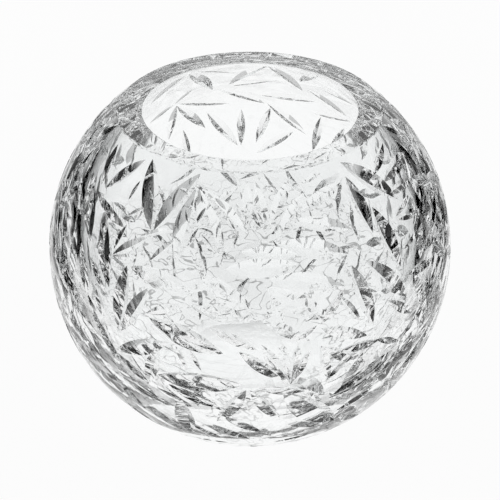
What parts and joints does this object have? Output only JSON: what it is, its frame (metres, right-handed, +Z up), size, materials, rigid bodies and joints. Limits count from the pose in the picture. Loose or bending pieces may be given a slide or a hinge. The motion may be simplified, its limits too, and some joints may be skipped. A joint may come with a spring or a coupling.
{
  "type": "rose bowl vase",
  "caption": "Heavy round rose bowl vase of clear cut crystal, with a wide mouth, a flat polished rim, a flat foot and leaf-shaped mitre cuts all over the outside.",
  "frame": {"origin": "on the bowl's axis, at the flat foot it stands on", "axes": "+Z up along the bowl's axis towards the mouth; -Y is the side that faces the viewer in the picture"},
  "size_m": [0.152, 0.152, 0.1275],
  "materials": {
    "clear_crystal": "polished clear crystal"
  },
  "bodies": {
    "root": {"glass_bowl": "clear_crystal"}
  },
  "joints": []
}
